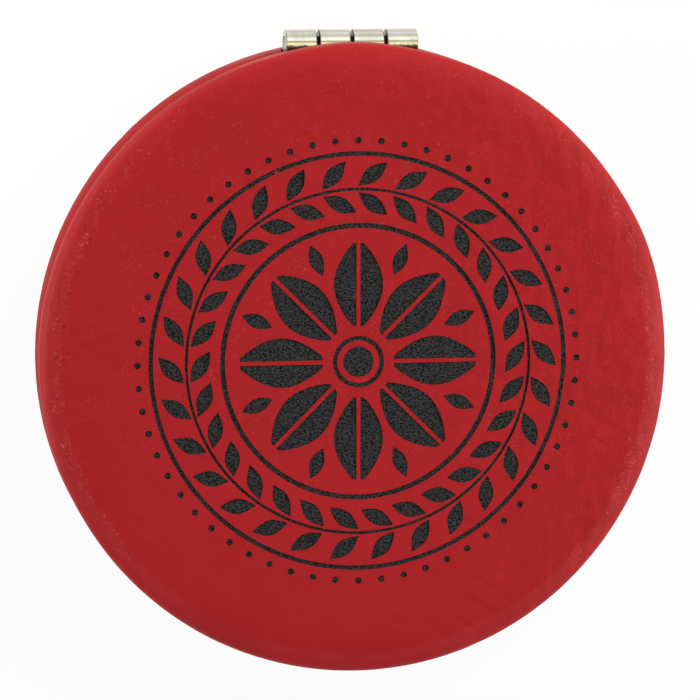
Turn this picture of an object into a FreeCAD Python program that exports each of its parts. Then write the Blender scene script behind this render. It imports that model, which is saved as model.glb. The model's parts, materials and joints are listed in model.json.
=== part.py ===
import FreeCAD, Part
import math
import os
import re
import Sketcher

# Round compact mirror: two equal leatherette-covered halves on one barrel hinge, lying shut.
#
# Frame: millimetres, +Z up, the hinge at +Y. The origin is the centre of the base's resting face.
# Each half is drawn with its own Z running from the parting plane, where the halves meet, out to
# its covered face. The lid stands on the parting plane as drawn. The base is the same half turned
# by half a turn about Y, which also moves its knuckles into the gaps between the lid's knuckles.

SIZES = [
    ("case_diameter", 63.5, "across the leatherette"),
    ("closing_gap", 0.2, "between the two rims when shut"),
    ("cover_thickness", 0.8, "leatherette with its backing"),
    ("cover_edge_radius", 1.6, "rounding from the face into the side"),
    ("cover_rim_radius", 0.6, "rounding from the side into the rim"),
    ("turn_in_thickness", 0.5, "pared edge of the leatherette, turned into the well"),
    ("turn_in_edge_radius", 0.4, "rounding from the rim into the well"),
    ("turn_in_clearance", 0.5, "from the turned-in edge to the well's floor"),
    ("glue_line", 0.05, "between pieces that are glued together"),
    ("foam_thickness", 0.8, "foam pad under the leatherette"),
    ("foam_land", 0.3, "shell's crest outside the foam pad"),
    ("shell_floor", 1.5, "moulded floor between the foam and the mirror"),
    ("bezel_recess", 0.25, "bezel's face below the rim"),
    ("bezel_lip", 0.45, "thickness of the lip over the glass"),
    ("bezel_wall", 0.5, "bezel ring's wall"),
    ("bezel_overlap", 0.8, "lip's reach over the glass from the wall"),
    ("bezel_edge_radius", 0.18, "rounding of the bezel's bright edges"),
    ("glass_thickness", 1.2, "mirror glass at its edge"),
    ("glass_clearance", 0.1, "between the glass and the bezel's wall"),
    ("magnifier_radius", 1000, "radius of curvature of the magnifying mirror"),
    ("tape_thickness", 0.25, "adhesive disc behind the glass"),
    ("tape_margin", 1.8, "from the tape's edge to the edge of the glass"),
    ("pin_diameter", 2.0, "hinge pin"),
    ("pin_clearance", 0.04, "running gap round the pin"),
    ("pin_chamfer", 0.2, "at the pin's ends"),
    ("leaf_thickness", 0.65, "sheet of the hinge leaves and knuckles"),
    ("leaf_setback", 0.54, "from the shell's outside to the leaf's outside"),
    ("leaf_reach", 6.5, "how far the leaf lies over the shell's back"),
    ("leaf_bend_radius", 0.3, "inside of the leaf's bend"),
    ("leaf_clearance", 0.05, "round the leaf in its recess"),
    ("hinge_length", 13.4, "the four knuckles in a row"),
    ("knuckle_gap", 0.28, "between neighbouring knuckles"),
    ("knuckle_edge_radius", 0.12, "rounding of the knuckles' ends"),
    ("notch_clearance", 0.25, "round the barrel in the rims"),
    ("rivet_diameter", 1.4, "rivet's shank"),
    ("rivet_head_diameter", 2.4, "rivet's head"),
    ("rivet_head_height", 0.4, "rivet's head"),
    ("rivet_clearance", 0.03, "round the rivets in their holes"),
    ("rivet_spacing", 6.0, "between the two rivets"),
    ("rivet_edge", 1.9, "from the leaf's end to the rivets"),
    ("magnet_diameter", 3.0, "closing magnet"),
    ("magnet_height", 1.0, "closing magnet"),
    ("magnet_clearance", 0.05, "round the magnet in its pocket"),
    ("magnet_wall", 0.35, "shell each side of the magnet's pocket"),
]

# Heights are above the parting plane, and radii and Y places are from the case's axis.
LAYOUT = [
    ("case_radius", "case_diameter / 2"),
    ("cover_inner_radius", "case_radius - cover_thickness"),
    ("shell_radius", "cover_inner_radius - glue_line"),
    ("rim_width", "magnet_diameter + 2 * magnet_clearance + 2 * magnet_wall"),
    ("well_radius", "shell_radius - rim_width"),
    ("lining_radius", "well_radius - glue_line"),
    ("turn_in_radius", "lining_radius - turn_in_thickness"),
    ("bezel_radius", "turn_in_radius - glue_line"),
    ("bezel_bore", "bezel_radius - bezel_wall"),
    ("glass_radius", "bezel_bore - glass_clearance"),
    ("lip_radius", "bezel_bore - bezel_overlap"),
    ("tape_radius", "glass_radius - tape_margin"),
    ("flange_level", "closing_gap / 2"),
    ("flange_underside", "flange_level + cover_thickness"),
    ("rim_level", "flange_underside + glue_line"),
    ("bezel_level", "flange_level + bezel_recess"),
    ("glass_level", "bezel_level + bezel_lip"),
    ("tape_level", "glass_level + glass_thickness"),
    ("floor_level", "tape_level + tape_thickness"),
    ("turn_in_end", "floor_level - turn_in_clearance"),
    ("shell_back", "floor_level + shell_floor"),
    ("foam_level", "shell_back + glue_line"),
    ("shell_crest", "foam_level + foam_thickness"),
    ("cover_inside", "shell_crest + glue_line"),
    ("cover_face", "cover_inside + cover_thickness"),
    ("edge_radius_inside", "max(cover_edge_radius - cover_thickness; glue_line * 2)"),
    ("edge_radius_shell", "edge_radius_inside - glue_line"),
    ("foam_recess_radius", "shell_radius - edge_radius_shell - foam_land"),
    ("foam_radius", "foam_recess_radius - glue_line"),
    ("magnifier_hollow", "magnifier_radius - sqrt(magnifier_radius ^ 2 - glass_radius ^ 2)"),
    ("bore_radius", "pin_diameter / 2 + pin_clearance"),
    ("barrel_radius", "bore_radius + leaf_thickness"),
    ("leaf_outside", "shell_radius - leaf_setback"),
    ("leaf_inside", "leaf_outside - leaf_thickness"),
    ("axis_y", "leaf_outside + bore_radius"),
    ("leaf_half_width", "sqrt(shell_radius ^ 2 - leaf_outside ^ 2) - leaf_clearance"),
    ("leaf_seat", "shell_back - leaf_thickness"),
    ("leaf_end", "leaf_outside - leaf_reach"),
    ("knuckle_length", "(hinge_length - 3 * knuckle_gap) / 4"),
    ("knuckle_step", "2 * (knuckle_length + knuckle_gap)"),
    ("knuckle_shoulder", "sqrt(barrel_radius ^ 2 - bore_radius ^ 2)"),
    ("notch_height", "barrel_radius + notch_clearance"),
    ("notch_front", "leaf_inside - notch_clearance"),
    ("notch_half_width", "hinge_length / 2 + notch_clearance"),
    ("rivet_y", "leaf_end + rivet_edge"),
    ("magnet_y", "-(shell_radius - magnet_wall - magnet_clearance - magnet_diameter / 2)"),
]

doc = FreeCAD.newDocument("compact_mirror")
sizes = doc.addObject("Spreadsheet::Sheet", "Sizes")
layout = doc.addObject("Spreadsheet::Sheet", "Layout")
CELL = {alias: f"Sizes.{alias}" for alias, number, note in SIZES}
CELL.update({alias: f"Layout.{alias}" for alias, formula in LAYOUT})
PLANES = ("XY_Plane", "XZ_Plane", "YZ_Plane")
WHOLE_TURN = 2 * math.pi
HALF_TURNS = {"lid": 0, "base": 1}
sub_parts = []


def bound(text):
    """The expression with each named size led back to its cell."""
    return re.sub(r"[a-z]\w*", lambda word: CELL.get(word[0], word[0]), text)


def value(text):
    """What an expression of named sizes comes to now."""
    return float(layout.evalExpression(bound(text)))


def fill_sheets():
    """Driving sizes as plain numbers in one sheet, and what follows from them in the other."""
    for row, (alias, number, note) in enumerate(SIZES, start=1):
        sizes.set(f"A{row}", note)
        sizes.set(f"B{row}", str(number))
        sizes.setAlias(f"B{row}", alias)
    doc.recompute()
    for row, (alias, formula) in enumerate(LAYOUT, start=1):
        layout.set(f"A{row}", alias.replace("_", " "))
        layout.set(f"B{row}", "=" + bound(formula).replace("Layout.", ""))
        layout.setAlias(f"B{row}", alias)
        doc.recompute()


def settle(piece, label, half):
    """Name a sub-part and set it on the parting plane, turned over if it belongs to the base."""
    piece.Label = label
    turn = FreeCAD.Rotation(FreeCAD.Vector(0, 1, 0), 180 * HALF_TURNS[half])
    piece.Placement = FreeCAD.Placement(FreeCAD.Vector(0, 0, 0), turn)
    piece.setExpression("Placement.Base.z", bound("cover_face"))
    sub_parts.append(piece)


def new_body(label, half):
    body = doc.addObject("PartDesign::Body", label)
    settle(body, label, half)
    return body


def new_sketch(body, plane, lift="0"):
    """A sketch on one of the body's own planes, lifted along the plane's normal."""
    sketch = body.newObject("Sketcher::SketchObject", f"{body.Name}_sketch")
    origin = next(feature for feature in body.Origin.OriginFeatures if feature.Role == plane)
    sketch.AttachmentSupport = [(origin, "")]
    sketch.MapMode = "FlatFace"
    sketch.setExpression("AttachmentOffset.Base.z", bound(lift))
    return sketch


def fix(sketch, kind, text, *point):
    """A driven dimension on a sketch point or edge."""
    index = sketch.addConstraint(Sketcher.Constraint(kind, *point, value(text)))
    sketch.setExpression(f"Constraints[{index}]", bound(text))


def outline(sketch, corners):
    """Closed outline through corners (x, y).

    A corner (x, y, turn, centre x, centre y) starts an arc that runs to the next corner about
    that centre, turning "left" or "right".
    """
    tails = []
    for here, after in zip(corners, corners[1:] + corners[:1]):
        start = FreeCAD.Vector(value(here[0]), value(here[1]), 0)
        end = FreeCAD.Vector(value(after[0]), value(after[1]), 0)
        if len(here) == 2:
            edge = sketch.addGeometry(Part.LineSegment(start, end))
            head, tail = 1, 2
        else:
            centre = FreeCAD.Vector(value(here[3]), value(here[4]), 0)
            head, tail = (1, 2) if here[2] == "left" else (2, 1)
            first, last = (start, end) if here[2] == "left" else (end, start)
            low = math.atan2(first.y - centre.y, first.x - centre.x)
            high = math.atan2(last.y - centre.y, last.x - centre.x)
            circle = Part.Circle(centre, FreeCAD.Vector(0, 0, 1), (start - centre).Length)
            turned = (high - low) % WHOLE_TURN
            edge = sketch.addGeometry(Part.ArcOfCircle(circle, low, low + turned))
            fix(sketch, "DistanceY", here[4], edge, 3)
        fix(sketch, "DistanceX", here[0], edge, head)
        fix(sketch, "DistanceY", here[1], edge, head)
        tails.append((edge, head, tail))
    for (edge, head, tail), (next_edge, next_head, next_tail) in zip(tails, tails[1:] + tails[:1]):
        sketch.addConstraint(Sketcher.Constraint("Coincident", edge, tail, next_edge, next_head))


def rectangle(sketch, low_x, low_y, high_x, high_y):
    outline(sketch, [(low_x, low_y), (high_x, low_y), (high_x, high_y), (low_x, high_y)])


def circle(sketch, radius, x="0", y="0"):
    centre = FreeCAD.Vector(value(x), value(y), 0)
    edge = sketch.addGeometry(Part.Circle(centre, FreeCAD.Vector(0, 0, 1), value(radius)))
    fix(sketch, "Radius", radius, edge)
    fix(sketch, "DistanceX", x, edge, 3)
    fix(sketch, "DistanceY", y, edge, 3)


def revolve(body, corners):
    """Solid of revolution about the case's axis."""
    profile = new_sketch(body, "XZ_Plane")
    outline(profile, corners)
    turned = body.newObject("PartDesign::Revolution", f"{body.Name}_turned")
    turned.Profile = profile
    turned.ReferenceAxis = (profile, ["V_Axis"])
    turned.Angle = 360
    doc.recompute()
    return turned


def extrude(body, kind, sketch, length, symmetric=False):
    """Pad, or Pocket cut the same way, along the sketch's normal."""
    feature = body.newObject(f"PartDesign::{kind}", f"{body.Name}_{kind.lower()}")
    feature.Profile = sketch
    feature.setExpression("Length", bound(length))
    feature.SideType = "Symmetric" if symmetric else "One side"
    feature.Reversed = kind == "Pocket" and not symmetric
    doc.recompute()
    return feature


def disc(label, half, radius, level, thickness):
    """Flat round piece at a level above the parting plane."""
    body = new_body(label, half)
    sketch = new_sketch(body, "XY_Plane", level)
    circle(sketch, radius)
    extrude(body, "Pad", sketch, thickness)


def cut_round_hole(body, radius, x, y, level, depth):
    sketch = new_sketch(body, "XY_Plane", level)
    circle(sketch, radius, x, y)
    extrude(body, "Pocket", sketch, depth)


def cut_barrel_notch(body):
    """Room for the hinge barrel in the rim."""
    sketch = new_sketch(body, "XY_Plane")
    rectangle(sketch, "-notch_half_width", "notch_front", "notch_half_width", "case_radius + barrel_radius")
    extrude(body, "Pocket", sketch, "notch_height")


def circles_of(shape, radius):
    """Names of the shape's edges that are arcs or circles of that radius."""
    names = []
    for number, edge in enumerate(shape.Edges, start=1):
        if isinstance(edge.Curve, Part.Circle) and math.isclose(edge.Curve.Radius, radius, rel_tol=1e-6):
            names.append(f"Edge{number}")
    return names


def make_cover(half):
    """Leatherette skin: face, side, rim and the edge turned down into the well."""
    body = new_body(f"{half}_cover", half)
    revolve(body, [
        ("0", "cover_inside"),
        ("cover_inner_radius - edge_radius_inside", "cover_inside", "right",
         "cover_inner_radius - edge_radius_inside", "cover_inside - edge_radius_inside"),
        ("cover_inner_radius", "cover_inside - edge_radius_inside"),
        ("cover_inner_radius", "flange_underside"),
        ("lining_radius", "flange_underside"),
        ("lining_radius", "turn_in_end"),
        ("turn_in_radius", "turn_in_end"),
        ("turn_in_radius", "flange_level + turn_in_edge_radius", "left",
         "turn_in_radius + turn_in_edge_radius", "flange_level + turn_in_edge_radius"),
        ("turn_in_radius + turn_in_edge_radius", "flange_level"),
        ("case_radius - cover_rim_radius", "flange_level", "left",
         "case_radius - cover_rim_radius", "flange_level + cover_rim_radius"),
        ("case_radius", "flange_level + cover_rim_radius"),
        ("case_radius", "cover_face - cover_edge_radius", "left",
         "case_radius - cover_edge_radius", "cover_face - cover_edge_radius"),
        ("case_radius - cover_edge_radius", "cover_face"),
        ("0", "cover_face"),
    ])
    cut_barrel_notch(body)


def make_shell(half):
    """Moulded tray: floor, raised rim, foam recess, leaf recess, rivet holes and magnet pocket."""
    body = new_body(f"{half}_shell", half)
    revolve(body, [
        ("0", "floor_level"),
        ("well_radius", "floor_level"),
        ("well_radius", "rim_level"),
        ("shell_radius", "rim_level"),
        ("shell_radius", "shell_crest - edge_radius_shell", "left",
         "shell_radius - edge_radius_shell", "shell_crest - edge_radius_shell"),
        ("shell_radius - edge_radius_shell", "shell_crest"),
        ("foam_recess_radius", "shell_crest"),
        ("foam_recess_radius", "shell_back"),
        ("0", "shell_back"),
    ])
    cut_barrel_notch(body)
    recess = new_sketch(body, "YZ_Plane")
    outline(recess, [
        ("leaf_inside - leaf_clearance", "0"),
        ("case_radius", "0"),
        ("case_radius", "cover_face"),
        ("leaf_end - leaf_clearance", "cover_face"),
        ("leaf_end - leaf_clearance", "leaf_seat"),
        ("leaf_inside - leaf_clearance - leaf_bend_radius", "leaf_seat"),
        ("leaf_inside - leaf_clearance", "leaf_seat - leaf_bend_radius"),
    ])
    extrude(body, "Pocket", recess, "2 * (leaf_half_width + leaf_clearance)", symmetric=True)
    for side in ("-", ""):
        place = (side + "rivet_spacing / 2", "rivet_y", "floor_level")
        cut_round_hole(body, "rivet_head_diameter / 2 + rivet_clearance", *place, "rivet_head_height")
        cut_round_hole(body, "rivet_diameter / 2 + rivet_clearance", *place, "shell_floor")
    cut_round_hole(body, "magnet_diameter / 2 + magnet_clearance", "0", "magnet_y",
                   "rim_level", "magnet_height + glue_line")


def make_foam_pad(half):
    disc(f"{half}_foam_pad", half, "foam_radius", "foam_level", "foam_thickness")


def make_tape(half):
    disc(f"{half}_mirror_tape", half, "tape_radius", "tape_level", "tape_thickness")


def make_magnet(half):
    body = new_body(f"{half}_magnet", half)
    sketch = new_sketch(body, "XY_Plane", "rim_level")
    circle(sketch, "magnet_diameter / 2", "0", "magnet_y")
    extrude(body, "Pad", sketch, "magnet_height")


def make_bezel_ring(half):
    """Bright ring: its wall stands on the well's floor and its lip holds the glass."""
    body = new_body(f"{half}_bezel_ring", half)
    revolve(body, [
        ("bezel_bore", "floor_level"),
        ("bezel_bore", "glass_level"),
        ("lip_radius", "glass_level"),
        ("lip_radius", "bezel_level + bezel_edge_radius", "left",
         "lip_radius + bezel_edge_radius", "bezel_level + bezel_edge_radius"),
        ("lip_radius + bezel_edge_radius", "bezel_level"),
        ("bezel_radius - bezel_edge_radius", "bezel_level", "left",
         "bezel_radius - bezel_edge_radius", "bezel_level + bezel_edge_radius"),
        ("bezel_radius", "bezel_level + bezel_edge_radius"),
        ("bezel_radius", "floor_level"),
    ])


def make_plain_mirror():
    disc("plain_mirror", "lid", "glass_radius", "glass_level", "glass_thickness")


def make_magnifying_mirror():
    """Glass with a hollow front, flat behind."""
    body = new_body("magnifying_mirror", "base")
    revolve(body, [
        ("0", "glass_level + magnifier_hollow", "right",
         "0", "glass_level + magnifier_hollow - magnifier_radius"),
        ("glass_radius", "glass_level"),
        ("glass_radius", "tape_level"),
        ("0", "tape_level"),
    ])


def make_hinge_leaf(half):
    """Bent leaf with its two rolled knuckles, the first and third of the row on the lid."""
    body = new_body(f"{half}_hinge_leaf", half)
    bend = new_sketch(body, "YZ_Plane")
    outline(bend, [
        ("leaf_inside", "notch_height"),
        ("leaf_outside", "notch_height"),
        ("leaf_outside", "leaf_seat - leaf_bend_radius", "left",
         "leaf_inside - leaf_bend_radius", "leaf_seat - leaf_bend_radius"),
        ("leaf_inside - leaf_bend_radius", "shell_back"),
        ("leaf_end", "shell_back"),
        ("leaf_end", "leaf_seat"),
        ("leaf_inside - leaf_bend_radius", "leaf_seat", "right",
         "leaf_inside - leaf_bend_radius", "leaf_seat - leaf_bend_radius"),
        ("leaf_inside", "leaf_seat - leaf_bend_radius"),
    ])
    extrude(body, "Pad", bend, "2 * leaf_half_width", symmetric=True)
    for side in ("-", ""):
        cut_round_hole(body, "rivet_diameter / 2 + rivet_clearance", side + "rivet_spacing / 2",
                       "rivet_y", "leaf_seat", "leaf_thickness")
    roll = new_sketch(body, "YZ_Plane", "-hinge_length / 2")
    outline(roll, [
        ("leaf_inside", "notch_height"),
        ("leaf_inside", "0", "left", "axis_y", "0"),
        ("leaf_outside", "knuckle_shoulder"),
        ("leaf_outside", "notch_height"),
    ])
    circle(roll, "bore_radius", "axis_y", "0")
    knuckle = extrude(body, "Pad", roll, "knuckle_length")
    row = body.newObject("PartDesign::LinearPattern", f"{body.Name}_row")
    row.Originals = [knuckle]
    row.Direction = (roll, ["N_Axis"])
    row.setExpression("Length", bound("knuckle_step"))
    row.Occurrences = 2
    body.Tip = row
    doc.recompute()
    rounded = body.newObject("PartDesign::Fillet", f"{body.Name}_rounded")
    rounded.Base = (row, circles_of(row.Shape, value("barrel_radius")))
    rounded.setExpression("Radius", bound("knuckle_edge_radius"))
    body.Tip = rounded


def make_rivets(half):
    """Two rivets: heads sunk into the well's floor, tails flush with the leaf."""
    rivets = []
    for side in ("-", ""):
        head = doc.addObject("Part::Cylinder", f"{half}_rivet_head")
        head.setExpression("Radius", bound("rivet_head_diameter / 2"))
        head.setExpression("Height", bound("rivet_head_height"))
        shank = doc.addObject("Part::Cylinder", f"{half}_rivet_shank")
        shank.setExpression("Radius", bound("rivet_diameter / 2"))
        shank.setExpression("Height", bound("shell_back - floor_level"))
        for piece in (head, shank):
            piece.setExpression("Placement.Base.x", bound(side + "rivet_spacing / 2"))
            piece.setExpression("Placement.Base.y", bound("rivet_y"))
            piece.setExpression("Placement.Base.z", bound("floor_level"))
        rivet = doc.addObject("Part::Fuse", f"{half}_rivet")
        rivet.Base = head
        rivet.Tool = shank
        rivets.append(rivet)
    group = doc.addObject("Part::Compound", f"{half}_hinge_rivets")
    group.Links = rivets
    settle(group, f"{half}_hinge_rivets", half)


def make_hinge_pin():
    body = new_body("hinge_pin", "lid")
    sketch = new_sketch(body, "YZ_Plane")
    circle(sketch, "pin_diameter / 2", "axis_y", "0")
    rod = extrude(body, "Pad", sketch, "hinge_length", symmetric=True)
    ends = body.newObject("PartDesign::Chamfer", "hinge_pin_ends")
    ends.Base = (rod, circles_of(rod.Shape, value("pin_diameter / 2")))
    ends.setExpression("Size", bound("pin_chamfer"))
    body.Tip = ends


def check():
    """Stop if an object failed, a cut removed nothing or a sub-part's shape isn't sound."""
    doc.recompute()
    faults = [item.Name for item in doc.Objects if {"Invalid", "Error"} & set(item.State)]
    for item in doc.Objects:
        if item.isDerivedFrom("PartDesign::Pocket"):
            if item.Shape.Volume >= item.BaseFeature.Shape.Volume:
                faults.append(f"{item.Name} cuts nothing")
    for piece in sub_parts:
        if piece.Shape.isNull() or not piece.Shape.isValid() or not piece.Shape.Solids:
            faults.append(f"{piece.Label} has no sound shape")
    if faults:
        raise RuntimeError("; ".join(faults))


def write():
    os.makedirs("parts", exist_ok=True)
    for piece in sub_parts:
        piece.Shape.exportStep(f"parts/{piece.Label}.step")


fill_sheets()
for half_name in HALF_TURNS:
    make_cover(half_name)
    make_foam_pad(half_name)
    make_shell(half_name)
    make_tape(half_name)
    make_bezel_ring(half_name)
    make_magnet(half_name)
    make_hinge_leaf(half_name)
    make_rivets(half_name)
make_plain_mirror()
make_magnifying_mirror()
make_hinge_pin()
check()
write()
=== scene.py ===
"""Looks of a round red leatherette compact mirror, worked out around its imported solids.

Lengths are metres in the part's own frame: +Z up through the lid's face, +Y towards the hinge,
origin under the middle of the base.
"""

import json
import math

import bpy
import numpy as np
from mathutils import Matrix, Vector


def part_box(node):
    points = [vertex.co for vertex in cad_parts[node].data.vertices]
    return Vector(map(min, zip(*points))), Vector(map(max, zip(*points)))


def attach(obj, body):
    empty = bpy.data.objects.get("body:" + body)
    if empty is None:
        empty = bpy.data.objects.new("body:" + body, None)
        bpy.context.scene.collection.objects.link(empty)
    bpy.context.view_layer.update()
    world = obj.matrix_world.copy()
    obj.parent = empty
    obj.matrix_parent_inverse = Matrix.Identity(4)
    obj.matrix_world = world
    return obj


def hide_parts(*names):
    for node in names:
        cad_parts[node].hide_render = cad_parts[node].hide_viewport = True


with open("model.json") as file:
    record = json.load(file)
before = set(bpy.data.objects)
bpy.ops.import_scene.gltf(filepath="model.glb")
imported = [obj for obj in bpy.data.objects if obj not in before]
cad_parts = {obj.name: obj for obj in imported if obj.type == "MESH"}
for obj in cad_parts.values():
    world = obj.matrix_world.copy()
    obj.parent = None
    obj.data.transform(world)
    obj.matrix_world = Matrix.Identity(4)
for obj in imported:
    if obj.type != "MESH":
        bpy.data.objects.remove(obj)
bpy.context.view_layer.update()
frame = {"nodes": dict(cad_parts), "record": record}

MM = 0.001
HALVES = ("lid", "base")

# Sizes read from the frame; levels count from the parting plane outwards, as on either half
lid_low, lid_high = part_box("lid_cover")
PARTING = (lid_low.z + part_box("base_cover")[1].z) / 2
CASE_RADIUS = lid_high.x
FACE_LEVEL = lid_high.z - PARTING
FLANGE_LEVEL = lid_low.z - PARTING
BEZEL_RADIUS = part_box("lid_bezel_ring")[1].x
HINGE_Y = sum(corner.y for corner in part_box("hinge_pin")) / 2

# The leatherette skin: how thick it is and how it turns over the edge and into the mirror well
SKIN = 0.8 * MM
TUCKED_SKIN = 0.5 * MM
SHOULDER_WIDTH = 5.6 * MM
SHOULDER_DROP = 1.65 * MM
SHOULDER_POWERS = (2.0, 3.0)
RIM_ROUND = 1.9 * MM
TUCK_ROUND = 0.4 * MM
TUCK_DEPTH = 1.75 * MM
INNER_ROUND = 0.8 * MM
TUCK_RADIUS = BEZEL_RADIUS + 0.05 * MM

# The notch in each cover that the hinge barrel turns in
NOTCH_HALF_WIDTH = 6.85 * MM
NOTCH_START = 29.46 * MM
NOTCH_LEVEL = 1.94 * MM

# Where the lid's padded edge is a little fuller: angle from +X and spread in degrees, and height
LID_SWELLS = ((90, 8, 0.18 * MM), (20, 11, 0.18 * MM), (297, 42, 0.16 * MM), (178, 20, 0.17 * MM))

# The slots between the hinge's knuckles: one in the middle and one to each side
SLOT_PLACE = 3.42 * MM
SLOT_HALF_WIDTH = 0.14 * MM

# The engraved rosette on the lid, and how far its cutter stands above the face
ENGRAVING_DEPTH = 0.12 * MM
CUTTER_HEADROOM = 0.3 * MM

# Edges sharper than this stay crisp
COVER_SHARP = math.radians(38)
FOAM_SHARP = math.radians(60)

# Levels closer than this count as equal
HAIR = 1e-9


def half_to_frame(points, half):
    """Puts a half's points (x, y, level) in the frame: the base is the lid turned half round +Y."""
    side = 1 if half == "lid" else -1
    return points * (side, 1, side) + (0, 0, PARTING)


def smoothstep(value, low, high):
    """0 below low, 1 above high, and the cubic 3t^2 - 2t^3 between them."""
    t = np.clip((value - low) / (high - low), 0, 1)
    return t * t * (3 - 2 * t)


def wave_field(u, v, lengths, heading, spread, count, seed):
    """Sum of count plane waves with lengths, headings and phases drawn at random, of unit spread."""
    draw = np.random.default_rng(seed)
    length = draw.uniform(*lengths, count)
    angle = heading + spread * draw.normal(size=count)
    phase = draw.uniform(0, 2 * math.pi, count)
    along = np.multiply.outer(u, np.cos(angle)) + np.multiply.outer(v, np.sin(angle))
    return np.cos(2 * math.pi * along / length + phase).sum(-1) / math.sqrt(count / 2)


def mesh_piece(name, points, faces, materials, face_materials=None):
    """Makes an object at the origin from points in the frame and faces as lists of point numbers."""
    mesh = bpy.data.meshes.new(name)
    mesh.from_pydata(points.tolist(), [], faces)
    for material in materials:
        mesh.materials.append(material)
    if face_materials is not None:
        mesh.polygons.foreach_set("material_index", face_materials)
    mesh.update(calc_edges=True)
    piece = bpy.data.objects.new(name, mesh)
    bpy.context.scene.collection.objects.link(piece)
    return piece


def shade(piece, sharp_angle):
    """Smooth shading, with edges sharper than the angle kept crisp."""
    piece.data.shade_smooth()
    piece.data.set_sharp_from_angle(angle=sharp_angle)


def ring_faces(first_ring, ring_size, rings):
    """Quads between rings of equal size laid one after another, each ring closed on itself."""
    turn = np.arange(ring_size)
    start = first_ring + ring_size * np.arange(rings - 1)[:, None]
    near, far = start + turn, start + ring_size + turn
    after = np.roll(turn, -1)
    quads = np.stack((near, far, far - turn + after, near - turn + after), -1)
    return quads.reshape(-1, 4)


def arc(middle, size, start, stop, count):
    """Points round an ellipse of (wide, high) size, from one angle to another, in (radius, level)."""
    angle = np.radians(np.linspace(start, stop, count))
    return np.column_stack((middle[0] + size[0] * np.cos(angle), middle[1] + size[1] * np.sin(angle)))


def run(start, stop, count):
    """Evenly spaced points on a straight run from start to stop, in (radius, level)."""
    return np.linspace(start, stop, count)


def cut(piece, cutter):
    """Cuts the cutter's shape out of the piece, keeps the result as its mesh and drops the cutter."""
    modifier = piece.modifiers.new("cut", "BOOLEAN")
    modifier.operation = "DIFFERENCE"
    modifier.solver = "MANIFOLD"
    modifier.object = cutter
    depsgraph = bpy.context.evaluated_depsgraph_get()
    result = bpy.data.meshes.new_from_object(piece.evaluated_get(depsgraph))
    piece.modifiers.clear()
    old, piece.data = piece.data, result
    result.name = piece.name
    bpy.data.meshes.remove(old)
    bpy.data.meshes.remove(cutter.data)


# Shader helpers

def node(tree, kind, inputs=None, **settings):
    """Adds a shader node; inputs gives a socket a constant or the output socket that feeds it."""
    made = tree.nodes.new("ShaderNode" + kind)
    for name, value in settings.items():
        setattr(made, name, value)
    for name, value in (inputs or {}).items():
        if isinstance(value, bpy.types.NodeSocket):
            tree.links.new(value, made.inputs[name])
        else:
            made.inputs[name].default_value = value
    return made


def blended(tree, factor, first, second, kind="MIX"):
    """Colour between first and second by a factor, as a colour output socket."""
    mix = node(tree, "Mix", data_type="RGBA", blend_type=kind)
    for socket, value in ((mix.inputs[0], factor), (mix.inputs[6], first), (mix.inputs[7], second)):
        if isinstance(value, bpy.types.NodeSocket):
            tree.links.new(value, socket)
        else:
            socket.default_value = value
    return mix.outputs[2]


def spread_over(tree, value, low, high, to_low, to_high, smooth=False):
    """Maps a value's span from low to high onto to_low to to_high, clamped."""
    kind = "SMOOTHSTEP" if smooth else "LINEAR"
    limits = {"From Min": low, "From Max": high, "To Min": to_low, "To Max": to_high}
    return node(tree, "MapRange", {"Value": value, **limits}, interpolation_type=kind).outputs["Result"]


def maths(tree, operation, first, second):
    """One sum, product or other operation on two values."""
    return node(tree, "Math", {0: first, 1: second}, operation=operation).outputs[0]


def effect_group(name, inputs, outputs):
    """An empty node group with a Vector, float inputs and float outputs; returns its tree and ends."""
    tree = bpy.data.node_groups.new(name, "ShaderNodeTree")
    tree.interface.new_socket("Vector", in_out="INPUT", socket_type="NodeSocketVector")
    for label, value in inputs.items():
        socket = tree.interface.new_socket(label, in_out="INPUT", socket_type="NodeSocketFloat")
        socket.default_value = value
    for label in outputs:
        tree.interface.new_socket(label, in_out="OUTPUT", socket_type="NodeSocketFloat")
    return tree, tree.nodes.new("NodeGroupInput").outputs, tree.nodes.new("NodeGroupOutput").inputs


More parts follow.
